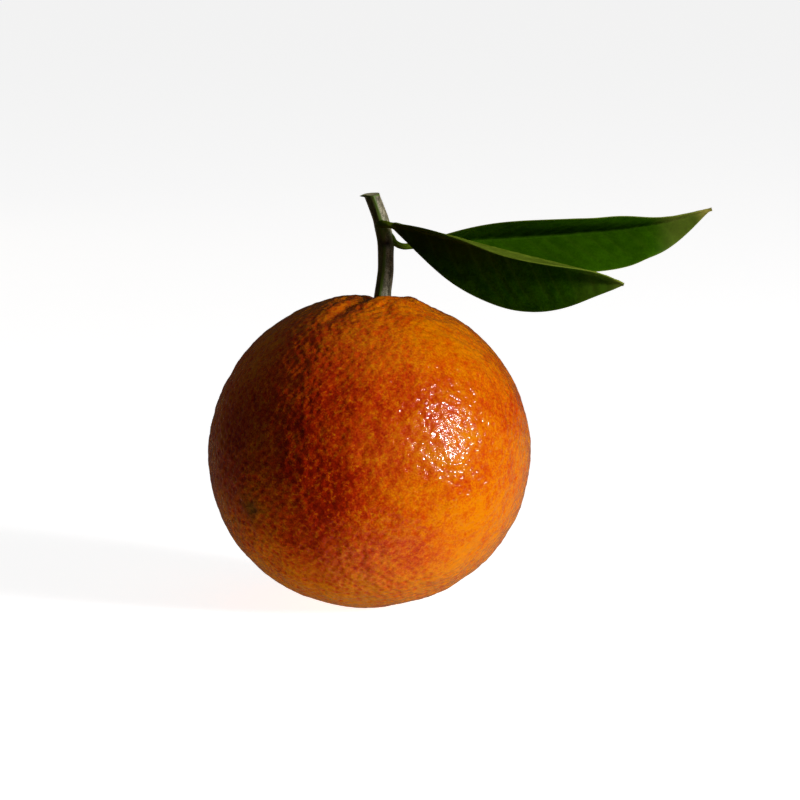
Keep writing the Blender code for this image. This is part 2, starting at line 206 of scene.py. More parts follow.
def gland_directions():
    """Directions of the oil glands: a spiral from the dimple to the bottom, one golden angle
    on for each gland, in steps that give each its share of skin, then shifted a little."""
    polar = np.linspace(0.0, math.pi, 4000)
    spacing = GLAND_SPACING_AT_STEM + (GLAND_SPACING - GLAND_SPACING_AT_STEM) * smooth_step(
        polar / GLAND_ZONE_AT_STEM
    )
    ring = 2 * math.pi * (FRUIT_WIDTH / 2) ** 2 * np.sin(polar)
    per_step = ring / (math.sqrt(3) / 2 * spacing**2)
    counted = np.cumsum(per_step) * (polar[1] - polar[0])
    index = np.arange(int(counted[-1]))
    at = np.interp(index + 0.5, counted, polar)
    turn = index * GOLDEN_ANGLE
    across, along, axis = dimple_frame()
    spiral = (np.sin(at) * np.cos(turn))[:, None] * across
    spiral = spiral + (np.sin(at) * np.sin(turn))[:, None] * along + np.cos(at)[:, None] * axis
    random = np.random.default_rng(11)
    shift = GLAND_JITTER * np.interp(at, polar, spacing) / (FRUIT_WIDTH / 2)
    return unit(spiral + random.normal(size=spiral.shape) * shift[:, None])


def nearest_glands(directions, glands):
    """For each direction the index of its nearest gland, and its distances over the skin from
    the nearest and the second nearest, read from the largest products in blocks of rows."""
    nearest = np.empty(len(directions), dtype=int)
    first, second = np.empty(len(directions)), np.empty(len(directions))
    targets = glands.T.astype(np.float32)
    for start in range(0, len(directions), 4096):
        block = slice(start, start + 4096)
        alike = directions[block].astype(np.float32) @ targets
        nearest[block] = alike.argmax(axis=1)
        rows = np.arange(len(alike))
        first[block] = np.linalg.norm(directions[block] - glands[nearest[block]], axis=1)
        alike[rows, nearest[block]] = -1.0
        then = alike.argmax(axis=1)
        second[block] = np.linalg.norm(directions[block] - glands[then], axis=1)
    return nearest, first * FRUIT_WIDTH / 2, second * FRUIT_WIDTH / 2


def ball_grid(cells):
    """Directions to an even-angled grid on each of a cube's six sides, tan(-45 to 45 degrees)
    along both edges, with the points on the cube's edges shared, and the quads between."""
    edge = np.tan(np.linspace(-math.pi / 4, math.pi / 4, cells + 1))
    a, b = np.meshgrid(edge, edge, indexing="ij")
    one = np.ones_like(a)
    sides = ((one, a, b), (-one, b, a), (b, one, a), (a, -one, b), (a, b, one), (b, a, -one))
    points = np.stack([np.stack(side, axis=-1).reshape(-1, 3) for side in sides]).reshape(-1, 3)
    _, kept, merged = np.unique(
        np.round(points, 6), axis=0, return_index=True, return_inverse=True
    )
    index = merged.reshape(6, cells + 1, cells + 1)
    low, high = slice(None, -1), slice(1, None)
    corners = ((low, low), (high, low), (high, high), (low, high))
    quads = np.stack([index[:, along, up] for along, up in corners], axis=-1)
    return unit(points[kept]), quads.reshape(-1, 4)


def piece_from(name, points, faces, marks, material, sharp=60):
    """The piece of this name: points and faces put into a mesh where they stand, each mark kept
    as a number on every point, shaded smooth up to the sharp angle."""
    mesh = bpy.data.meshes.new(name)
    mesh.from_pydata(points.tolist(), [], faces if isinstance(faces, list) else faces.tolist())
    mesh.update()
    for mark, numbers in marks.items():
        kept = mesh.attributes.new(mark, "FLOAT", "POINT")
        kept.data.foreach_set("value", numbers.astype(np.float32))
    mesh.shade_smooth()
    mesh.set_sharp_from_angle(angle=math.radians(sharp))
    mesh.materials.append(material)
    piece = bpy.data.objects.new(name, mesh)
    bpy.context.scene.collection.objects.link(piece)
    return piece


def new_material(name):
    """A material with its node tree and its one shader."""
    material = bpy.data.materials.new(name)
    material.use_nodes = True
    return material, material.node_tree, material.node_tree.nodes["Principled BSDF"]


def add_node(tree, kind, inputs, **settings):
    """A node of this kind, its inputs joined to sockets or set to values."""
    made = tree.nodes.new("ShaderNode" + kind)
    for setting, value in settings.items():
        setattr(made, setting, value)
    for socket, value in inputs.items():
        if isinstance(value, bpy.types.NodeSocket):
            tree.links.new(value, made.inputs[socket])
        else:
            made.inputs[socket].default_value = value
    return made


def reckon(tree, operation, a, b):
    """The outcome of one sum on two sockets or numbers."""
    return add_node(tree, "Math", {0: a, 1: b}, operation=operation).outputs[0]


def mark_of(tree, mark):
    """The number that the mesh keeps on its points under this mark."""
    return add_node(tree, "Attribute", {}, attribute_name=mark).outputs["Fac"]


def noise(tree, scale, detail=3.0, roughness=0.5, stretch=(1, 1, 1), distortion=0.0):
    """Noise of that many lumps a metre, over the piece's own coordinates."""
    place = add_node(tree, "TexCoord", {}).outputs["Object"]
    if stretch != (1, 1, 1):
        place = add_node(tree, "Mapping", {"Vector": place, "Scale": stretch}).outputs[0]
    inputs = {
        "Vector": place, "Scale": scale, "Detail": detail,
        "Roughness": roughness, "Distortion": distortion,
    }
    return add_node(tree, "TexNoise", inputs).outputs["Fac"]


def spread(tree, value, low, high, to_low=0.0, to_high=1.0):
    """The value carried from low..high to to_low..to_high, and held at its ends."""
    inputs = {
        "Value": value, "From Min": low, "From Max": high,
        "To Min": to_low, "To Max": to_high,
    }
    return add_node(tree, "MapRange", inputs).outputs["Result"]


def ramp(tree, factor, stops):
    """Colours by factor, with one stop for each (position, colour)."""
    made = add_node(tree, "ValToRGB", {"Fac": factor})
    elements = made.color_ramp.elements
    while len(elements) < len(stops):
        elements.new(0.5)
    for element, (position, colour) in zip(elements, stops):
        element.position = position
        element.color = (*colour, 1.0)
    return made.outputs["Color"]


def blend(tree, factor, a, b):
    """Colour a turned to colour b by the factor."""
    mixed = add_node(tree, "Mix", {0: factor}, data_type="RGBA")
    for socket, value in ((mixed.inputs[6], a), (mixed.inputs[7], b)):
        if isinstance(value, bpy.types.NodeSocket):
            tree.links.new(value, socket)
        else:
            socket.default_value = (*value, 1.0)
    return mixed.outputs[2]


def add_bumps(tree, shader, height, strength, distance, socket="Normal"):
    """Bumps by the height socket, up to the distance, on the shader's skin or on its coat."""
    bump = add_node(tree, "Bump", {"Strength": strength, "Distance": distance, "Height": height})
    tree.links.new(bump.outputs["Normal"], shader.inputs[socket])


def peel_material():
    """Peel: from yellow-orange through red to maroon by how much blush there is, darker in the
    glands, lighter in broken flecks on the ridges between them, dark olive in one spot and,
    thinly, along the long furrow as painted shade, with a waxy gloss."""
    material, tree, shader = new_material("peel")
    blush, gland, ridge = mark_of(tree, "blush"), mark_of(tree, "gland"), mark_of(tree, "ridge")
    patches = noise(tree, 120, 2.0)
    mottle = noise(tree, 300, 4.0, 0.62)
    flecks = noise(tree, 620, 4.0, 0.65, distortion=0.6)
    grain = noise(tree, 2300, 2.0, 0.5)
    redness = reckon(tree, "ADD", blush, spread(tree, patches, 0.3, 0.7, -0.12, 0.12))
    redness = reckon(tree, "ADD", redness, spread(tree, mottle, 0.3, 0.7, -0.23, 0.23))
    lumps = noise(tree, 1050, 4.0, 0.75)
    broken = reckon(tree, "MULTIPLY", ridge, 0.8)
    broken = reckon(tree, "MAXIMUM", broken, spread(tree, lumps, 0.525, 0.595))
    broken = reckon(tree, "MULTIPLY", broken, spread(tree, flecks, 0.47, 0.545))
    kept = reckon(tree, "SUBTRACT", 1.0, reckon(tree, "MULTIPLY", broken, 0.8))
    redness = reckon(tree, "MULTIPLY", redness, kept)
    dots = reckon(tree, "MULTIPLY", gland, spread(tree, blush, 0.35, 0.75, 0.40, 0.12))
    redness = reckon(tree, "ADD", redness, dots)
    redness = reckon(tree, "ADD", redness, spread(tree, grain, 0.3, 0.7, -0.22, 0.22))
    stops = (
        (0.0, (0.75, 0.215, 0.0)),
        (0.22, (0.675, 0.131, 0.0)),
        (0.42, (0.61, 0.079, 0.0)),
        (0.62, (0.545, 0.045, 0.0)),
        (0.82, (0.455, 0.0233, 0.0)),
        (1.0, (0.345, 0.0115, 0.0)),
    )
    colour = ramp(tree, redness, stops)
    # Olive for the spot, and a thin share along the long furrow as painted shade
    olive = spread(tree, mottle, 0.3, 0.55, 0.15, 0.8)
    olive = reckon(tree, "MULTIPLY", mark_of(tree, "spot_and_furrow_shade"), olive)
    colour = blend(tree, olive, colour, (0.110, 0.070, 0.008))
    tree.links.new(colour, shader.inputs["Base Color"])
    tree.links.new(spread(tree, mottle, 0.3, 0.7, 0.22, 0.30), shader.inputs["Roughness"])
    rough = noise(tree, 1400, 2.0, 0.55, stretch=(1, 1, 1.7))
    add_bumps(tree, shader, rough, 0.6, 0.00022)
    ripples = noise(tree, 1300, 0.5, 0.5, stretch=(1, 1, 1.8))
    add_bumps(tree, shader, ripples, 1.0, 0.00020, "Coat Normal")
    shader.inputs["Specular IOR Level"].default_value = 0.13
    shader.inputs["Coat Weight"].default_value = 0.93
    shader.inputs["Coat Roughness"].default_value = 0.05
    return material


def make_fruit():
    """The ball grid turned to the dimple and drawn out to the skin, with a pit of
    depth * exp(-(distance / reach)^2) at each gland, ripples between and cracks by the stem."""
    grid, quads = ball_grid(BALL_CELLS)
    across, along, axis = dimple_frame()
    directions = grid[:, :1] * across + grid[:, 1:2] * along + grid[:, 2:] * axis
    glands = gland_directions()
    nearest, first, second = nearest_glands(directions, glands)
    random = np.random.default_rng(12)
    deep = random.uniform(0.55, 1.35, len(glands))[nearest]
    red = 1.5 * random.uniform(0.0, 1.0, len(glands))[nearest] ** 1.4
    pit = np.exp(-((first / GLAND_REACH) ** 2))
    arc, turn = round_the_dimple(directions)
    outside = smooth_step(arc / DIMPLE_RADIUS - 1.0)
    points = directions * FRUIT_WIDTH / 2
    relief = -GLAND_DEPTH * deep * pit
    for wavelength, height, count, seed in RELIEF:
        relief += height * ripple(points, wavelength, count, seed)
    relief *= (0.35 + 0.65 * outside) * (1 + 1.1 * np.exp(-((arc / ROUGH_ZONE_AT_STEM) ** 2)))
    for azimuth, away, tilt, length in CRESCENTS:
        off = turn - math.radians(azimuth)
        beside, outward = arc * np.sin(off), arc * np.cos(off) - away
        t = math.radians(tilt)
        lengthways = beside * math.cos(t) + outward * math.sin(t)
        sideways = outward * math.cos(t) - beside * math.sin(t) - 0.25 * lengthways**2 / length
        crack = -((lengthways / length) ** 4) - (sideways / CRESCENT_WIDTH) ** 2
        relief -= CRESCENT_DEPTH * np.exp(crack)
    skin = FRUIT_CENTRE + directions * (fruit_radius(directions) + relief)[:, None]
    skin[:, 2] = np.maximum(skin[:, 2], 0.0)
    faint_glands = smooth_step((directions @ direction(*FAINT_GLAND_SIDE) - 0.35) / 0.45)
    blush = np.zeros(len(skin))
    azimuth = np.degrees(np.arctan2(directions[:, 1], directions[:, 0]))
    polar = np.degrees(np.arccos(directions[:, 2]))
    for at, down, strength, wide, tall in BLUSHES:
        beside = ((azimuth - at + 180) % 360 - 180) * np.sin(np.radians(polar))
        blush += strength * np.exp(-((beside / wide) ** 2) - ((polar - down) / tall) ** 2)
    to_spot = np.clip(directions @ direction(*OLIVE_SPOT[:2]), -1, 1)
    spot_and_furrow_shade = np.exp(-((FRUIT_WIDTH / 2 * np.arccos(to_spot) / OLIVE_SPOT[2]) ** 2))
    starts, way = GLAND_REDDENING
    reddened = 0.35 + 0.65 * smooth_step((arc - starts) / way)
    marks = {
        "blush": blush,
        "gland": pit * red * reddened * (1 - 0.65 * faint_glands),
        "ridge": 1.0 - smooth_step((second - first) / GLAND_RIDGE),
        # The olive spot, and painted shade along the long furrow
        "spot_and_furrow_shade": spot_and_furrow_shade + 0.3 * furrow_share(arc, turn, LONG_FURROW),
    }
    return piece_from("peel_skin", skin, quads, marks, peel_material(), sharp=180)


fruit = make_fruit()
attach(fruit, "root")
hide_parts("fruit")


# The calyx: the dried green-brown star, five lobes and a raised middle, that the flower left.
# It is woody, grown onto the fruit in the bottom of the dimple, and the twig rises from it.
CALYX_RADIUS = 0.0027
CALYX_LOBE = 0.0012
CALYX_LOBES = 5
CALYX_EDGE = 0.0006
CALYX_CROWN = 0.0010
CROWN_SHARE = 0.5
# How deep the groove along each lobe is, and the fine ribs
CALYX_GROOVE = 0.00022
CALYX_RIBS = 0.00006
CALYX_SUNK = 0.00015
CALYX_SEGMENTS = 160
CALYX_RINGS = 26


def ring_faces(count, around):
    """Quads between neighbouring rings of points, and a fan from a lone point at each end."""
    index = np.arange(count * around).reshape(count, around)
    after = np.roll(index, -1, axis=1)
    sides = np.stack([index[:-1], after[:-1], after[1:], index[1:]], axis=-1).reshape(-1, 4)
    low, high = np.full(around, count * around), np.full(around, count * around + 1)
    foot = np.stack([low, after[0], index[0]], axis=-1)
    top = np.stack([high, index[-1], after[-1]], axis=-1)
    return sides.tolist() + foot.tolist() + top.tolist()


def weighed(tree, parts):
    """The sum of each socket times its weight."""
    total = 0.0
    for socket, weight in parts:
        total = reckon(tree, "ADD", total, reckon(tree, "MULTIPLY", socket, weight))
    return total


def calyx_material():
    """Calyx: green-brown and fibrous, paler on the lobes' rims, dull."""
    material, tree, shader = new_material("calyx_wood")
    fibres = noise(tree, 2600, 4.0, 0.6)
    blotches = noise(tree, 700, 3.0)
    shade = weighed(tree, ((blotches, 0.6), (fibres, 0.4)))
    stops = (
        (0.35, (0.045, 0.040, 0.012)),
        (0.5, (0.12, 0.12, 0.035)),
        (0.65, (0.22, 0.20, 0.08)),
    )
    colour = blend(tree, mark_of(tree, "rim"), ramp(tree, shade, stops), (0.20, 0.13, 0.06))
    tree.links.new(colour, shader.inputs["Base Color"])
    add_bumps(tree, shader, fibres, 0.5, 0.0002)
    shader.inputs["Roughness"].default_value = 0.68
    return material


def make_calyx():
    """Rings of points out from the middle, each at a share of the star's edge
    radius + lobe * (0.5 + 0.5 cos(5 turn))^1.5: under it the dimple's own height, over it that
    height and a thickness that eases from the crown to the edge, with a groove along each lobe."""
    turn = np.linspace(0, 2 * math.pi, CALYX_SEGMENTS, endpoint=False)
    lobes = (0.5 + 0.5 * np.cos(CALYX_LOBES * turn)) ** 1.5
    rim = CALYX_RADIUS + CALYX_LOBE * lobes

    def ring(share, thickness):
        x = DIMPLE_AT[0] + share * rim * np.cos(turn)
        y = DIMPLE_AT[1] + share * rim * np.sin(turn)
        return np.stack([x, y, fruit_top(x, y) + thickness], axis=1)

    def thickness(share):
        off_crown = smooth_step((share - CROWN_SHARE) / (1 - CROWN_SHARE))
        height = CALYX_EDGE + CALYX_CROWN * (1 - off_crown)
        rounded = CALYX_EDGE * 0.7 * smooth_step((share - 0.86) / 0.14) ** 2
        groove = CALYX_GROOVE * lobes * np.exp(-(((share - 0.78) / 0.12) ** 2))
        fine = CALYX_RIBS * share * np.cos(45 * turn + 5 * np.sin(3 * turn))
        return height - rounded - groove + fine

    shares = np.linspace(0.06, 1.0, CALYX_RINGS)
    under = [ring(share, -CALYX_SUNK) for share in shares]
    over = [ring(share, thickness(share)) for share in shares[::-1]]
    low, high = ring(0.0, 0.0)[:1], ring(0.0, CALYX_EDGE + CALYX_CROWN)[:1]
    rings = np.concatenate(under + over)
    points = np.concatenate([rings, low, high])
    near_rim = smooth_step((np.concatenate([shares, shares[::-1]]) - 0.8) / 0.2)
    marks = {"rim": np.concatenate([np.repeat(near_rim, CALYX_SEGMENTS) * 0.6, [0.0, 0.0]])}
    faces = ring_faces(2 * CALYX_RINGS, CALYX_SEGMENTS)
    return piece_from("calyx_star", points, faces, marks, calyx_material())


calyx = make_calyx()
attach(calyx, "root")
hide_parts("calyx")


# The twig: the short length of living green wood that the fruit was picked with. Thin bark
# covers it, three ridges run up it under the leaf stalks, and it was snipped aslant on top.
TWIG_RADIUS = 0.0017
TWIG_TAPER = 0.08
TWIG_FLARE = 0.00010
TWIG_FLARE_REACH = 0.0015
TWIG_RIDGE = 0.00026
TWIG_RIDGES = 3
TWIG_RIDGE_TURN = -1.9
TWIG_TWIST = 22.0
TWIG_SEGMENTS = 96
TWIG_RINGS = 220
TWIG_LINE = (
    (0.0020, 0.0000, 0.0692),
    (0.0025, 0.0000, 0.0732),
    (0.0028, 0.0002, 0.0765),
    (0.0027, 0.0004, 0.0812),
    (0.0020, 0.0002, 0.0857),
    (0.0011, -0.0003, 0.0886),
    (-0.0002, -0.0008, 0.0924),
)
# Swellings under the leaf stalks: distance up the twig, direction in degrees, height, reach
TWIG_NODES = ((0.0158, -82, 0.00042, 0.0017), (0.0128, 2, 0.00030, 0.0018))
# The dent under the rear leaf's stalk, in the same terms; the bark in it is painted near black as
# painted shade
TWIG_AXIL = (0.0123, -72, 0.00024, 0.0009)
CUT_SLOPE = -0.28
CUT_ZONE = 0.1
CUT_DISH = 0.00006
SPLINTER = 0.0010
SPLINTER_LENGTH = 0.0007
BARK_STREAKS = 0.000022
BARK_RINGS = 0.00003
CUT_SHARES = (0.93, 0.8, 0.6, 0.35, 0.15)


def curve_through(points, count):
    """A Catmull-Rom curve through the points, read at even steps of its length."""
    p = np.array(points, dtype=float)
    p = np.vstack([2 * p[0] - p[1], p, 2 * p[-1] - p[-2]])
    t = np.linspace(0.0, 1.0, 40, endpoint=False)[:, None]
    spans = []
    for a, b, c, d in zip(p[:-3], p[1:-2], p[2:-1], p[3:]):
        bend = (2 * a - 5 * b + 4 * c - d) * t**2 + (3 * b - a - 3 * c + d) * t**3
        spans.append(0.5 * (2 * b + (c - a) * t + bend))
    fine = np.vstack(spans + [p[-2:-1]])
    travelled = np.concatenate([[0.0], np.cumsum(np.linalg.norm(np.diff(fine, axis=0), axis=1))])
    even = np.linspace(0.0, travelled[-1], count)
    return np.stack([np.interp(even, travelled, fine[:, k]) for k in range(3)], axis=1), even


def bark_material():
    """Bark: grey-brown, darker in the streaks, dark olive on the side away from the key lamp,
    partly the bark's own green and partly painted shade, with pale green along the ridges and
    the cut's rim, near black in the dent as painted shade, and pale wood inside the cut."""
    material, tree, shader = new_material("bark")
    streaks = noise(tree, 1500, 4.0, 0.6, stretch=(1, 1, 0.16))
    blotches = noise(tree, 420, 3.0)
    grains = noise(tree, 3600, 2.0, 0.6)
    shade = weighed(tree, ((streaks, 0.35), (blotches, 0.25), (grains, 0.40)))
    stops = (
        (0.41, (0.065, 0.057, 0.026)),
        (0.485, (0.155, 0.142, 0.078)),
        (0.56, (0.360, 0.330, 0.215)),
    )
    colour = ramp(tree, shade, stops)
    # The side away from the key lamp blended to dark olive: partly the bark's own green, partly
    # painted shade
    olive = reckon(tree, "MULTIPLY", mark_of(tree, "olive"), 0.8)
    colour = blend(tree, olive, colour, (0.052, 0.064, 0.009))
    colour = blend(tree, mark_of(tree, "green"), colour, (0.080, 0.145, 0.006))
    # Painted shade: near black in the dent under the rear leaf's stalk
    colour = blend(tree, mark_of(tree, "axil_dent_and_shade"), colour, (0.012, 0.010, 0.003))
    colour = blend(tree, mark_of(tree, "wood"), colour, (0.42, 0.40, 0.22))
    tree.links.new(colour, shader.inputs["Base Color"])
    add_bumps(tree, shader, streaks, 0.45, 0.0002)
    shader.inputs["Roughness"].default_value = 0.55
    return material


def make_twig():
    """A profile along a path: at each step of the middle line a ring of the radius
    taper + flare at the foot + (0.5 + 0.5 cos)^24 for each twisting ridge + swelling at each
    node - the dent + fine bark streaks; the last tenth slants to the cut, whose face is rings
    drawn in."""
    line, height = curve_through(TWIG_LINE, TWIG_RINGS)
    tangent = unit(np.gradient(line, axis=0))
    across = unit(np.array((1.0, 0, 0)) - tangent[:, :1] * tangent)
    along = np.cross(tangent, across)
    turn = np.linspace(0, 2 * math.pi, TWIG_SEGMENTS, endpoint=False)[None, :]
    up = height[:, None]
    radius = TWIG_RADIUS * (1 - TWIG_TAPER * up / height[-1])
    radius = radius + TWIG_FLARE * np.exp(-((up / TWIG_FLARE_REACH) ** 2))
    ridges, edges = np.zeros_like(radius + turn), np.zeros_like(radius + turn)
    for ridge in range(TWIG_RIDGES):
        at = 2 * math.pi * ridge / TWIG_RIDGES + TWIG_RIDGE_TURN + TWIG_TWIST * up
        ridges = ridges + (0.5 + 0.5 * np.cos(turn - at)) ** 24
        edges = edges + (0.5 + 0.5 * np.cos(turn - at)) ** 120
    radius = radius + TWIG_RIDGE * ridges
    nodes = np.zeros_like(ridges)
    for at, azimuth, swelling, reach in TWIG_NODES:
        facing = (0.5 + 0.5 * np.cos(turn - math.radians(azimuth))) ** 2
        near = facing * np.exp(-(((up - at) / reach) ** 2))
        nodes = nodes + near * facing**3
        radius = radius + swelling * near
    # The dent under the rear leaf's stalk, whose mask also paints the bark near black there as
    # painted shade
    at, azimuth, depth, reach = TWIG_AXIL
    facing = (0.5 + 0.5 * np.cos(turn - math.radians(azimuth))) ** 5
    axil_dent_and_shade = facing * np.exp(-(((up - at) / reach) ** 2))
    radius = radius - depth * axil_dent_and_shade
    streaks = np.cos(17 * turn + 3 * np.sin(260 * up)) + 0.7 * np.cos(29 * turn - 410 * up)
    radius = radius + BARK_STREAKS * streaks + BARK_RINGS * np.cos(900 * up + 2 * np.cos(turn))
    x, y = radius * np.cos(turn), radius * np.sin(turn)
    rings = line[:, None] + x[..., None] * across[:, None] + y[..., None] * along[:, None]
    near_cut = smooth_step(1 - (1 - up / height[-1]) / CUT_ZONE)
    rings = rings + (near_cut * CUT_SLOPE * x)[..., None] * tangent[:, None]
    at_top = smooth_step(1 - (height[-1] - up) / SPLINTER_LENGTH)
    splinter = np.exp(-(((turn - math.pi) / 0.16) ** 2)) * at_top
    rings = rings - (SPLINTER * splinter)[..., None] * across[:, None]
    cut = [
        line[-1] + share * (rings[-1] - line[-1]) - CUT_DISH * (1 - share) * tangent[-1]
        for share in CUT_SHARES
    ]
    everything = np.concatenate([rings, np.array(cut)])
    green = np.clip(1.2 * edges + 0.9 * nodes, 0, 0.92)
    # The olive mark covers the twig's side away from the key lamp: the bark's own green and painted
    # shade
    beside = -np.sin(turn - TWIG_RIDGE_TURN - TWIG_TWIST * up)
    olive = smooth_step((beside + 0.05) / 0.25) * smooth_step((1.2 - beside) / 0.5)
    olive = np.concatenate([olive, np.zeros((len(cut), TWIG_SEGMENTS))])
    on_cut = np.zeros((len(cut), TWIG_SEGMENTS))
    on_cut[0] = 1.0
    green = np.concatenate([green, on_cut])
    green[TWIG_RINGS - 3:TWIG_RINGS] = 1.0
    wood = np.zeros(everything.shape[:2])
    wood[TWIG_RINGS + 1:] = 1.0
    middles = [line[:1], line[-1:] - CUT_DISH * tangent[-1:]]
    points = np.concatenate([everything.reshape(-1, 3)] + middles)
    marks = {
        "green": np.concatenate([green.ravel(), [0.0, 0.0]]),
        "wood": np.concatenate([wood.ravel(), [0.0, 1.0]]),
        "olive": np.concatenate([olive.ravel(), [0.0, 0.0]]),
        "axil_dent_and_shade": np.concatenate([axil_dent_and_shade.ravel(), np.zeros(len(cut) * TWIG_SEGMENTS + 2)]),
    }
    faces = ring_faces(len(everything), TWIG_SEGMENTS)
    return piece_from("twig_bark", points, faces, marks, bark_material(), sharp=50)


twig = make_twig()
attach(twig, "root")
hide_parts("twig")


# The leaves: two citrus leaves, leathery, folded up along the midrib, dark and glossy inside
# the fold and pale and dull outside it. Each grows from the twig on a short round stalk.
BLADE_THICKNESS = 0.00036
RIB_HEIGHT = 0.0005
RIB_WIDTH = 0.0007
STALK_RADIUS = 0.0007
STALK_FLARE = 0.3
# How far along the stalk the flare of its foot begins to ease out, and over what length
FLARE_FROM = 0.0010
FLARE_LENGTH = 0.0024
TIP_HALF_WIDTH = 0.00035
FOLD_HALF_WIDTH = 0.0010
FLATTENING_SHARE = 0.10
FOLDING_SHARE = 0.05
RIB_FADING_SHARE = 0.4
LEAF_ROWS = 260
STEPS_TO_MARGIN = 200
LEAF_COLUMNS = np.linspace(-1, 1, 81)
LEAF_COLUMNS = np.sign(LEAF_COLUMNS) * np.abs(LEAF_COLUMNS) ** 1.25
LEAF_COLUMNS = np.unique(np.round(LEAF_COLUMNS * STEPS_TO_MARGIN)) / STEPS_TO_MARGIN
VEIN_SPACING = 0.0046
VEIN_WIDTH = 0.00030
VEIN_INSIDE = 0.00003
VEIN_OUTSIDE = 0.00005
PUFF = 0.00006
RIB_MARK_WIDTH = 0.00050
MARGIN_WIDTH = 0.00035
MARGIN_EASE = 0.00025
# Painted shadow on the front leaf by its foot, dark brown as if warmed by bounce light from the
# fruit: how far from the midrib it starts to fade, and over what reach
FOLD_SHADOW_FROM = 0.001
FOLD_SHADOW_REACH = 0.006
# The first point of each midrib lies inside the twig. The hang angles, at shares of the
# blade's length, are degrees from straight down towards the front, for each half.
LEAF_FRONT = {
    "midrib": (
        (0.0015, -0.0006, 0.0856),
        (0.0021, -0.0018, 0.0858),
        (0.0031, -0.0027, 0.08585),
        (0.0043, -0.0032, 0.0856),
        (0.0093, -0.0040, 0.0847),
        (0.0162, -0.0050, 0.0832),
        (0.0261, -0.0065, 0.0807),
        (0.0371, -0.0080, 0.0781),
        (0.0479, -0.0090, 0.0756),
        (0.0553, -0.0095, 0.0731),
    ),
    "stalk_share": 0.055,
    "half_width": 0.0129,
    "widest_at": 0.54,
    "fullness": 0.9,
    "lower_hang": ((0, 8), (0.5, -15), (1, 0)),
    "upper_hang": ((0, 107), (0.3, 97), (0.6, 92), (1, 101)),
    "wave": 0.0002,
    "waves": 2.5,
    "wave_from": 0.0,
    "wave_at": 0.5,
    "wave_reach": 0.4,
    "tip": 0.25,
    # Share of painted light, a lighter lit green on the lower half, at the foot and at the tip
    "light": (0.0, 0.5),
    # Strength of the painted shadow, warm with painted bounce light, under the overhanging half
    "brown": 0.8,
}
LEAF_REAR = {
    "midrib": (
        (0.0028, 0.0004, 0.0838),
        (0.0040, 0.0006, 0.0826),
        (0.0050, 0.0012, 0.0813),
        (0.0066, 0.0022, 0.0805),
        (0.0087, 0.0040, 0.0804),
        (0.0150, 0.0070, 0.0808),
        (0.0243, 0.0095, 0.0812),
        (0.0392, 0.0120, 0.0819),
        (0.0494, 0.0130, 0.0826),
        (0.0573, 0.0130, 0.0834),
        (0.0674, 0.0125, 0.0852),
        (0.0764, 0.0120, 0.0879),
    ),
    "stalk_share": 0.125,
    "half_width": 0.0128,
    "widest_at": 0.49,
    "fullness": 1.05,
    "lower_hang": ((0, 44), (0.5, 55), (0.75, 38), (0.9, 6), (1, -7)),
    "upper_hang": ((0, 123), (0.5, 110), (1, 105)),
    "wave": 0.0005,
    "waves": 3.0,
    "wave_from": 0.17,
    "wave_at": 0.74,
    "wave_reach": 0.18,
    "tip": 1.0,
    # Share of painted light at the foot and at the tip
    "light": (0.9, 1.0),
    # No painted shadow on this leaf
    "brown": 0.0,
}


def eased(t, keys):
    """The value at t, eased from each (t, value) key to the next."""
    value = np.full_like(t, keys[0][1], dtype=float)
    for (t0, v0), (t1, v1) in zip(keys[:-1], keys[1:]):
        value += (v1 - v0) * smooth_step((t - t0) / (t1 - t0))
    return value


def stalk_foot(travelled):
    """The stalk's thickness over its usual one: 1 + flare at its foot, easing to 1."""
    return 1 + STALK_FLARE * (1 - smooth_step((travelled - FLARE_FROM) / FLARE_LENGTH))


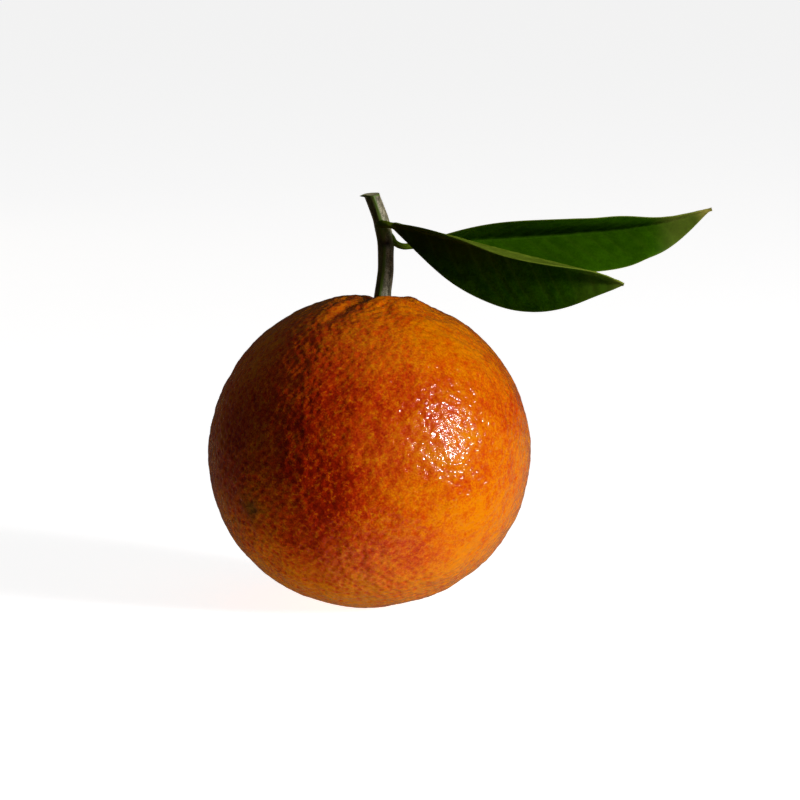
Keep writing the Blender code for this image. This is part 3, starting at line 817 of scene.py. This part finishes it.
def leaf_surface(leaf):
    """The leaf's middle surface on a grid of rows along the midrib and columns across it, the
    side that faces into the fold, the share along the blade and the half width.

    In each cross-section the surface walks out from the midrib on a heading that eases, over
    the narrow fold, from the lower half's hang angle to the upper half's."""
    line, travelled = curve_through(leaf["midrib"], LEAF_ROWS)
    share = travelled / travelled[-1]
    tangent = unit(np.gradient(line, axis=0))
    down = unit(np.array((0, 0, -1.0)) + tangent[:, 2:] * tangent)
    back = np.cross(tangent, down)
    blade = np.clip((share - leaf["stalk_share"]) / (1 - leaf["stalk_share"]), 0, 1)
    power = math.log(0.5) / math.log(leaf["widest_at"])
    half_width = leaf["half_width"] * np.sin(math.pi * blade**power) ** leaf["fullness"]
    narrowest = np.where(share < 0.5, STALK_RADIUS * stalk_foot(travelled), TIP_HALF_WIDTH)
    half_width = np.maximum(half_width, narrowest)
    lower = np.radians(eased(blade, leaf["lower_hang"]))[:, None] + math.pi
    upper = np.radians(eased(blade, leaf["upper_hang"]))[:, None]
    folded = smooth_step(blade / FOLDING_SHARE)[:, None]
    fine = np.linspace(-1, 1, 2 * STEPS_TO_MARGIN + 1)[None, :]
    fold_share = (FOLD_HALF_WIDTH / half_width)[:, None]
    turned = smooth_step(0.5 + fine / (2 * fold_share)) - 0.5
    heading = (lower + upper) / 2 + folded * (upper - lower) * turned
    at = np.round((LEAF_COLUMNS + 1) * STEPS_TO_MARGIN).astype(int)

    def walked(step):
        """The way gone across the blade from the midrib, as the sum of its small steps."""
        total = np.cumsum((step[:, 1:] + step[:, :-1]) / 2, axis=1) * (fine[0, 1] - fine[0, 0])
        total = np.concatenate([np.zeros((len(total), 1)), total], axis=1)
        return (total[:, at] - total[:, STEPS_TO_MARGIN, None]) * half_width[:, None]

    drop, lean = walked(np.cos(heading)), walked(np.sin(heading))
    surface = line[:, None] + drop[..., None] * down[:, None] - lean[..., None] * back[:, None]
    heading = heading[:, at]
    facing = np.sin(heading)[..., None] * down[:, None] + np.cos(heading)[..., None] * back[:, None]
    turns = 2 * math.pi * leaf["waves"] * (blade[:, None] - leaf["wave_from"])
    swing = np.sin(turns + LEAF_COLUMNS)
    waved = np.exp(-(((blade[:, None] - leaf["wave_at"]) / leaf["wave_reach"]) ** 2))
    wave = leaf["wave"] * np.abs(LEAF_COLUMNS) ** 3 * swing * waved
    wave = wave * np.sin(math.pi * blade)[:, None]
    surface = surface + wave[..., None] * facing
    return surface, facing, blade, half_width, travelled


def closed_sheet(top, bottom):
    """Points and faces of one closed body between two like grids of points."""
    rows, columns = top.shape[:2]
    upper = np.arange(rows * columns).reshape(rows, columns)
    lower = upper + rows * columns
    face = np.stack([upper[:-1, :-1], upper[1:, :-1], upper[1:, 1:], upper[:-1, 1:]], -1)
    face = face.reshape(-1, 4)
    walls = [
        np.stack([upper[:-1, 0], lower[:-1, 0], lower[1:, 0], upper[1:, 0]], -1),
        np.stack([upper[:-1, -1], upper[1:, -1], lower[1:, -1], lower[:-1, -1]], -1),
        np.stack([upper[0, :-1], upper[0, 1:], lower[0, 1:], lower[0, :-1]], -1),
        np.stack([upper[-1, 1:], upper[-1, :-1], lower[-1, :-1], lower[-1, 1:]], -1),
    ]
    points = np.concatenate([top.reshape(-1, 3), bottom.reshape(-1, 3)])
    return points, np.concatenate([face, face[:, ::-1] + rows * columns] + walls)


def vein_marks(blade, half_width, travelled):
    """How near each grid point is to a side vein, and the count of veins passed up to there:
    veins leave the midrib at even steps, run forward by 0.62 beside + 22 beside^2 on the way
    out, and thin out before the margin."""
    beside = np.abs(LEAF_COLUMNS) * half_width[:, None]
    side = np.where(LEAF_COLUMNS < 0, 0.5, 0.0)
    forward = travelled[:, None] - 0.62 * beside - 22.0 * beside**2
    steps = forward / VEIN_SPACING + side + 0.12 * np.sin(2.3 * forward / VEIN_SPACING)
    off = np.abs(steps - np.round(steps)) * VEIN_SPACING * 0.8
    fade = 1 - smooth_step((np.abs(LEAF_COLUMNS) - 0.55) / 0.4)
    return np.exp(-((off / VEIN_WIDTH) ** 2)) * fade * smooth_step(blade[:, None] / 0.08), steps


def leaf_material():
    """Leaf: on the side in the fold a deep green, blended by the light mark to a lighter, lit
    green as painted light, with a brownish zone of painted shadow and warm bounce light, and
    pale and dull on the other side, with pale veins, midrib and stalk, a thin yellow-green
    margin and a yellowed tip."""
    material, tree, shader = new_material("leaf_blade")
    blotches = noise(tree, 420, 4.0, 0.6)
    cells = noise(tree, 2200, 3.0, 0.6)
    shade = weighed(tree, ((blotches, 0.6), (cells, 0.4)))
    # A dark green and a lit copy of it: the light mark paints light by blending to the lit one
    deep = ramp(tree, shade, ((0.40, (0.0045, 0.022, 0.0)), (0.60, (0.014, 0.050, 0.0))))
    light = ramp(tree, shade, ((0.40, (0.019, 0.070, 0.0)), (0.60, (0.031, 0.100, 0.0005))))
    outside = ramp(tree, shade, ((0.40, (0.095, 0.150, 0.008)), (0.60, (0.165, 0.240, 0.020))))
    inside = blend(tree, mark_of(tree, "light"), deep, light)
    # Painted shadow with painted warm bounce light: dark brown near the midrib by the foot
    inside = blend(tree, mark_of(tree, "brown"), inside, (0.022, 0.026, 0.0))
    colour = blend(tree, mark_of(tree, "inside"), outside, inside)
    vein = reckon(tree, "MULTIPLY", mark_of(tree, "vein"), 0.10)
    colour = blend(tree, vein, colour, (0.085, 0.14, 0.01))
    colour = blend(tree, mark_of(tree, "rib"), colour, (0.070, 0.102, 0.005))
    colour = blend(tree, mark_of(tree, "margin"), colour, (0.20, 0.25, 0.03))
    colour = blend(tree, mark_of(tree, "tip"), colour, (0.27, 0.23, 0.05))
    tree.links.new(colour, shader.inputs["Base Color"])
    gloss = spread(tree, mark_of(tree, "inside"), 0.0, 1.0, 0.60, 0.50)
    tree.links.new(gloss, shader.inputs["Roughness"])
    shader.inputs["Specular IOR Level"].default_value = 0.02
    add_bumps(tree, shader, cells, 0.25, 0.0001)
    return material


def make_leaf(name, leaf, material):
    """The leaf's two skins, half a thickness either way from its middle surface: round in the
    stalk, thin in the blade, with the midrib raised outside the fold and veins in relief. The
    marks say where the green is lighter as painted light, less so on the upper half as painted
    shade, brownish by the foot as painted shadow with warm bounce light, and yellowed towards
    the tip."""
    surface, facing, blade, half_width, travelled = leaf_surface(leaf)
    vein, steps = vein_marks(blade, half_width, travelled)
    flattened = smooth_step(blade / FLATTENING_SHARE)[:, None]
    across = np.abs(LEAF_COLUMNS)
    round_half = STALK_RADIUS * stalk_foot(travelled)[:, None] * np.sqrt(1 - 0.97 * across**2)
    thin = BLADE_THICKNESS / 2 * (1 - 0.45 * smooth_step((across - 0.9) / 0.1))
    half = round_half + (thin - round_half) * flattened
    fading = smooth_step((1 - blade[:, None]) / RIB_FADING_SHARE)
    off_midrib = LEAF_COLUMNS * half_width[:, None]
    rib = RIB_HEIGHT * flattened * (0.25 + 0.75 * fading) * np.exp(-((off_midrib / RIB_WIDTH) ** 2))
    puff = PUFF * np.cos(2 * math.pi * steps) * flattened * smooth_step(across / 0.15)
    puff = puff * (1 - smooth_step((across - 0.7) / 0.3))
    top = surface + (half - puff - VEIN_INSIDE * vein)[..., None] * facing
    bottom = surface - (half + rib + puff + VEIN_OUTSIDE * vein)[..., None] * facing
    points, faces = closed_sheet(top, bottom)
    near_rib = np.exp(-((off_midrib / RIB_MARK_WIDTH) ** 2)) * (0.15 + 0.85 * fading)
    stalk = 1 - smooth_step(blade / 0.06)[:, None]
    stalk = stalk * np.ones_like(near_rib)
    rib_inside, rib_outside = np.maximum(0.05 * near_rib, stalk), np.maximum(near_rib, stalk)
    past_margin = np.abs(off_midrib) - half_width[:, None] + MARGIN_WIDTH
    margin = smooth_step(past_margin / MARGIN_EASE) * flattened
    ones = np.ones_like(near_rib)
    yellowing = 0.25 * smooth_step((blade - 0.78) / 0.1)
    yellowing = yellowing + 0.75 * smooth_step((blade - 0.93) / 0.06)
    tip = leaf["tip"] * yellowing[:, None] * ones
    # Painted light: the lower half lighter towards the tip, and only 0.35 of it on the upper half
    # as painted shade
    lit_at_foot, lit_at_tip = leaf["light"]
    light = lit_at_foot + (lit_at_tip - lit_at_foot) * smooth_step((blade[:, None] - 0.6) / 0.4) * ones
    light = light * np.where(LEAF_COLUMNS > 0, 0.35, 1.0)
    # Painted shadow of the overhanging half, browned by painted bounce light: strongest by the
    # midrib, fading out between a quarter and two thirds of the blade
    brown = leaf["brown"] * (1 - smooth_step((np.abs(off_midrib) - FOLD_SHADOW_FROM) / FOLD_SHADOW_REACH))
    brown = brown * (1 - smooth_step((blade[:, None] - 0.25) / 0.4))
    marks = {
        "inside": np.concatenate([ones.ravel(), 0 * ones.ravel()]),
        "light": np.concatenate([light.ravel(), light.ravel()]),
        "brown": np.concatenate([brown.ravel(), brown.ravel()]),
        "vein": np.concatenate([vein.ravel(), vein.ravel()]),
        "rib": np.concatenate([rib_inside.ravel(), rib_outside.ravel()]) * 0.75,
        "margin": np.concatenate([margin.ravel() * 0.15, margin.ravel() * 0.5]),
        "tip": np.concatenate([tip.ravel(), tip.ravel()]) * 0.8,
    }
    return piece_from(name, points, faces, marks, material, sharp=50)


leaf_green = leaf_material()
for name, leaf in (("leaf_front", LEAF_FRONT), ("leaf_rear", LEAF_REAR)):
    blade = make_leaf(name + "_blade", leaf, leaf_green)
    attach(blade, "root")
    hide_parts(name)


# The table: a plain pale sheet that the fruit stands on, wide enough to fill the view.
FLOOR_RADII = (0.3, 1.0, 3.0, 9.0)
FLOOR_SEGMENTS = 64
FLOOR_DROP = 0.00005


def floor_material():
    """Matt off-white, with the faintest grain."""
    material, tree, shader = new_material("floor_white")
    stops = ((0.3, (0.60, 0.60, 0.60)), (0.7, (0.62, 0.62, 0.62)))
    tree.links.new(ramp(tree, noise(tree, 60, 2.0), stops), shader.inputs["Base Color"])
    shader.inputs["Emission Color"].default_value = (1.0, 1.0, 1.0, 1.0)
    shader.inputs["Emission Strength"].default_value = 0.88
    shader.inputs["Roughness"].default_value = 0.9
    shader.inputs["Specular IOR Level"].default_value = 0.1
    return material


def make_floor():
    """A flat disc: rings of points, closer near the middle, about one middle point."""
    turn = np.linspace(0, 2 * math.pi, FLOOR_SEGMENTS, endpoint=False)
    circle = np.stack([np.cos(turn), np.sin(turn), 0 * turn], axis=1)
    rings = np.concatenate([radius * circle for radius in FLOOR_RADII])
    points = np.concatenate([[(0.0, 0.0, 0.0)], rings]) - (0, 0, FLOOR_DROP)
    index = 1 + np.arange(len(rings)).reshape(-1, FLOOR_SEGMENTS)
    after = np.roll(index, -1, axis=1)
    fan = np.stack([0 * index[0], index[0], after[0]], axis=1).tolist()
    bands = np.stack([index[:-1], index[1:], after[1:], after[:-1]], axis=-1).reshape(-1, 4)
    return piece_from("floor", points, fan + bands.tolist(), {}, floor_material())


floor = make_floor()
floor.visible_diffuse = floor.visible_glossy = floor.visible_shadow = False


# The light and the camera: a small soft window to the right of the camera, a wider weak one
# in the same place, faint lamps above, in front, behind and below, a faint light from all
# round, and a long lens at the photograph's viewing angle.
KEY_PLACE = FRUIT_CENTRE + np.array((0.832, -0.490, 0.259))
KEY_COLOUR = (1.0, 0.96, 0.97)
WHITE = (1.0, 1.0, 1.0)
# Name, place, size, power, colour, and whether the wax mirrors it
LAMPS = (
    ("key", KEY_PLACE, (0.15, 0.18), 7.4, KEY_COLOUR, True),
    ("window", KEY_PLACE, (0.35, 0.35), 3.3, KEY_COLOUR, False),
    ("top", (0.2, -0.1, 1.6), (1.6, 1.6), 2.6, WHITE, False),
    ("fill", (0.2, -0.96, 0.16), (0.6, 0.6), 0.55, WHITE, False),
    ("glow", (-0.62, 0.77, -0.12), (0.5, 0.5), 3.0, (1.0, 0.85, 0.6), False),
    ("bounce", (0.15, -0.08, -0.6), (0.7, 0.7), 4.5, (1.0, 0.98, 0.95), False),
)
AMBIENT = 0.012
WALL_BEHIND = 0.02
WALL_RIGHT = 0.17
ELEVATION = math.radians(8.0)
CAMERA_DISTANCE = 0.8
PICTURE_PIXELS = 800
FOCAL_PIXELS = 3567.0
PIXELS_PER_METRE = 4458.8
# How far the fruit's middle is right of and below the picture's middle, in pixels
FRUIT_PIXELS = (-30.0, 52.0)


def add_softbox(name, place, size, power, colour, mirrored):
    """A rectangular light at a place, turned to the fruit."""
    light = bpy.data.lights.new(name, "AREA")
    light.shape = "RECTANGLE"
    light.size, light.size_y = size
    light.energy = power
    light.color = colour
    lamp = bpy.data.objects.new(name, light)
    lamp.location = place
    lamp.rotation_euler = (Vector(FRUIT_CENTRE) - Vector(place)).to_track_quat("-Z", "Y").to_euler()
    lamp.visible_glossy = mirrored
    lamp.visible_camera = False
    bpy.context.scene.collection.objects.link(lamp)


for lamp in LAMPS:
    add_softbox(*lamp)


def studio_world():
    """Faint light from all round, and pale walls behind, brighter towards the right."""
    world = bpy.data.worlds.new("studio")
    world.use_nodes = True
    tree = world.node_tree
    outward = add_node(tree, "TexCoord", {}).outputs["Generated"]
    heading = add_node(tree, "SeparateXYZ", {0: outward})
    behind = spread(tree, heading.outputs["Y"], 0.2, 0.9)
    side = spread(tree, heading.outputs["X"], -0.2, 0.7, WALL_BEHIND, WALL_BEHIND + WALL_RIGHT)
    low = spread(tree, heading.outputs["Z"], -0.14, 0.04, 1.0, 0.0)
    wall = reckon(tree, "MULTIPLY", reckon(tree, "MULTIPLY", behind, side), low)
    background = tree.nodes["Background"]
    background.inputs["Color"].default_value = (1.0, 0.95, 0.88, 1.0)
    tree.links.new(reckon(tree, "ADD", wall, AMBIENT), background.inputs["Strength"])
    return world


bpy.context.scene.world = studio_world()

right = np.array((1.0, 0.0, 0.0))
up = np.array((0.0, math.sin(ELEVATION), math.cos(ELEVATION)))
forward = np.array((0.0, math.cos(ELEVATION), -math.sin(ELEVATION)))
aim = FRUIT_CENTRE - FRUIT_PIXELS[0] / PIXELS_PER_METRE * right
aim = aim + FRUIT_PIXELS[1] / PIXELS_PER_METRE * up
lens = bpy.data.cameras.new("camera")
lens.sensor_width = 36.0
lens.lens = FOCAL_PIXELS / PICTURE_PIXELS * lens.sensor_width
lens.clip_start, lens.clip_end = 0.05, 50.0
camera = bpy.data.objects.new("camera", lens)
camera.location = aim - CAMERA_DISTANCE * forward
camera.rotation_euler = (math.pi / 2 - ELEVATION, 0.0, 0.0)
bpy.context.scene.collection.objects.link(camera)
bpy.context.scene.camera = camera
bpy.context.scene.view_settings.view_transform = "Standard"
